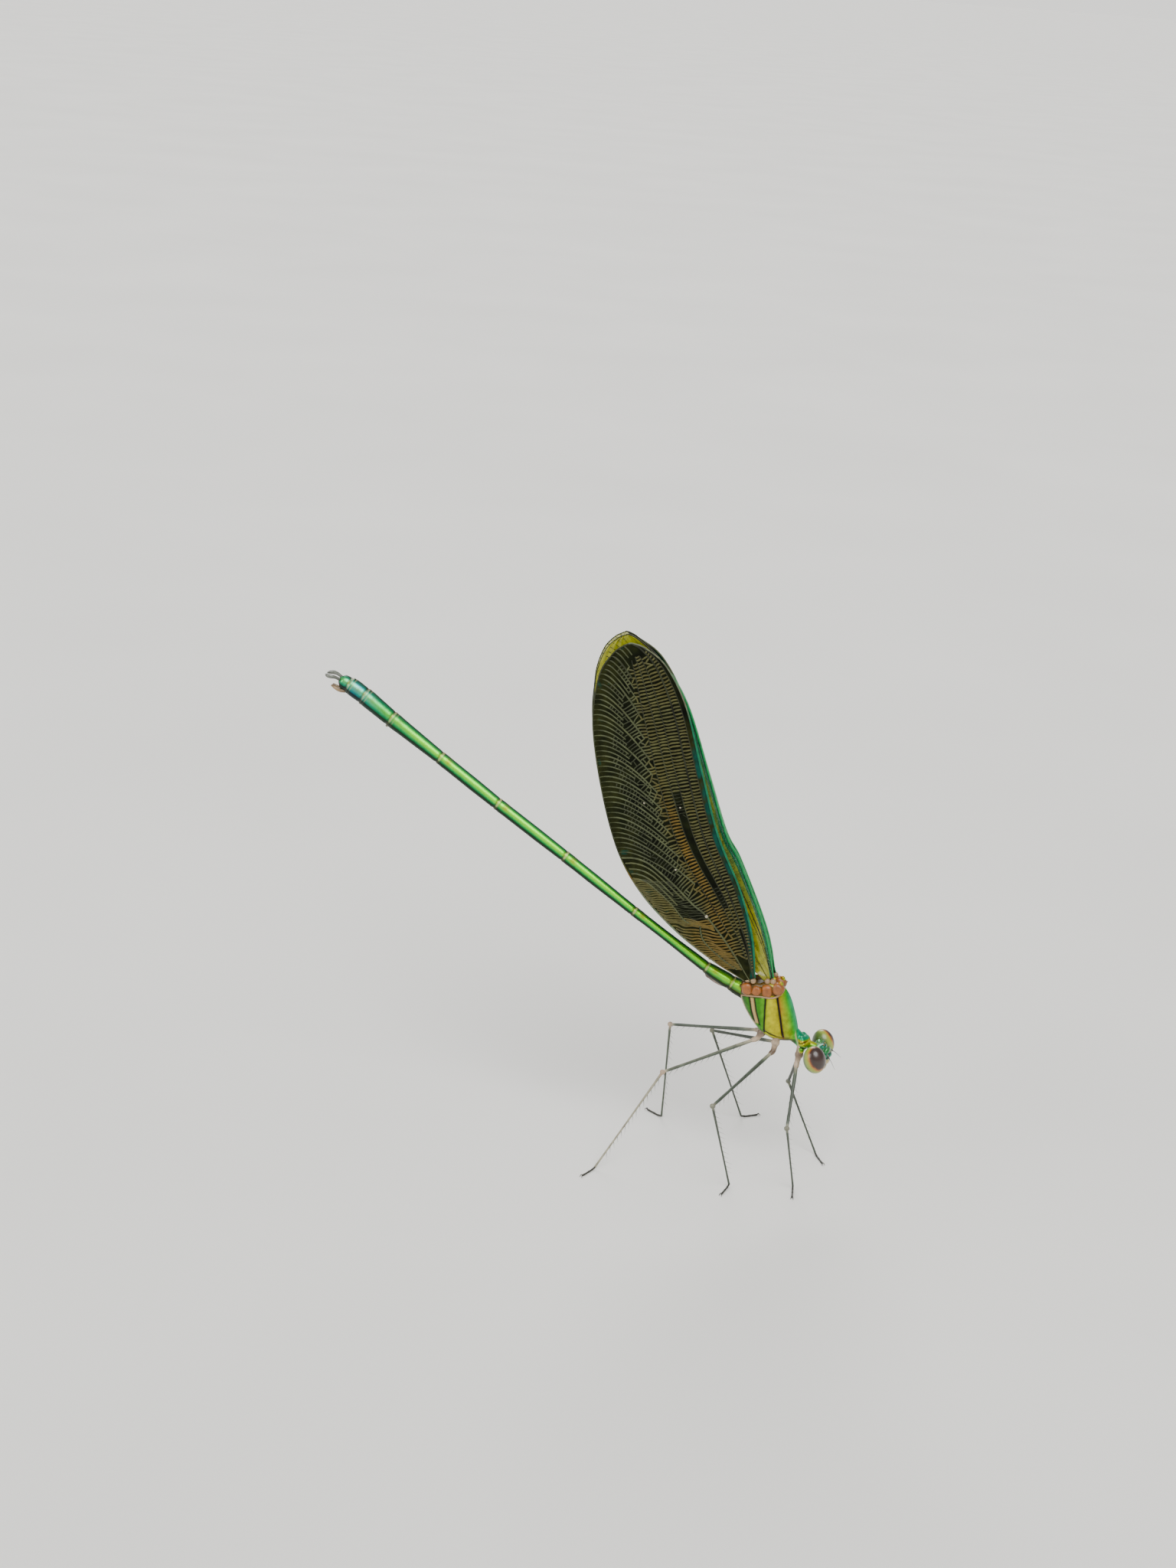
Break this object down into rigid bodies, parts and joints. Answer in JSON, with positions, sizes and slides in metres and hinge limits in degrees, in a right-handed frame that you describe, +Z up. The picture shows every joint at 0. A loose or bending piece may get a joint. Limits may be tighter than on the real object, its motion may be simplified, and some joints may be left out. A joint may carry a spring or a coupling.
{
  "type": "male stream glory damselfly, perched with closed wings, life-size model",
  "caption": "Life-size still damselfly standing on its feet, slim metallic green body raised behind and wings closed over the back.",
  "frame": {"origin": "on the floor, under the middle of the insect's outline", "axes": "+X toward the head, +Y toward the insect's left, +Z up"},
  "size_m": [0.0509, 0.0174, 0.0496],
  "materials": {
    "thorax_metal": "metallic green to golden green cuticle with black seams",
    "head_metal": "metallic green cuticle, pale lip and cheeks",
    "eye": "smooth compound eye, dark brown above and pale yellow-green below",
    "antenna": "thin black bristle",
    "abdomen_metal": "metallic green cuticle, teal toward the tip, pale joint rings",
    "clasper_dark": "dark glossy cuticle",
    "clasper_pale": "pale tan cuticle",
    "coxa": "pinkish cream cuticle",
    "leg": "grey-green cuticle with fine spines",
    "foot": "dark cuticle with a pair of claws",
    "forewing": "clear yellow-green membrane with green metallic front veins",
    "hindwing": "opaque membrane, blackish brown outside and brilliant metallic green inside"
  },
  "bodies": {
    "root": {"synthorax": "thorax_metal", "prothorax": "thorax_metal", "head": "head_metal", "eye_right": "eye", "antenna_right": "antenna", "eye_left": "eye", "antenna_left": "antenna", "abdomen_s1": "abdomen_metal", "abdomen_s2": "abdomen_metal", "abdomen_s3": "abdomen_metal", "abdomen_s4": "abdomen_metal", "abdomen_s5": "abdomen_metal", "abdomen_s6": "abdomen_metal", "abdomen_s7": "abdomen_metal", "abdomen_s8": "abdomen_metal", "abdomen_s9": "abdomen_metal", "abdomen_s10": "abdomen_metal", "cercus_right": "clasper_dark", "paraproct_right": "clasper_pale", "cercus_left": "clasper_dark", "paraproct_left": "clasper_pale", "coxa_hind_right": "coxa", "femur_hind_right": "leg", "tibia_hind_right": "leg", "tarsus_hind_right": "foot", "coxa_hind_left": "coxa", "femur_hind_left": "leg", "tibia_hind_left": "leg", "tarsus_hind_left": "foot", "coxa_middle_right": "coxa", "femur_middle_right": "leg", "tibia_middle_right": "leg", "tarsus_middle_right": "foot", "coxa_middle_left": "coxa", "femur_middle_left": "leg", "tibia_middle_left": "leg", "tarsus_middle_left": "foot", "coxa_fore_right": "coxa", "femur_fore_right": "leg", "tibia_fore_right": "leg", "tarsus_fore_right": "foot", "coxa_fore_left": "coxa", "femur_fore_left": "leg", "tibia_fore_left": "leg", "tarsus_fore_left": "foot", "forewing_right": "forewing", "hindwing_right": "hindwing", "forewing_left": "forewing", "hindwing_left": "hindwing"}
  },
  "joints": []
}
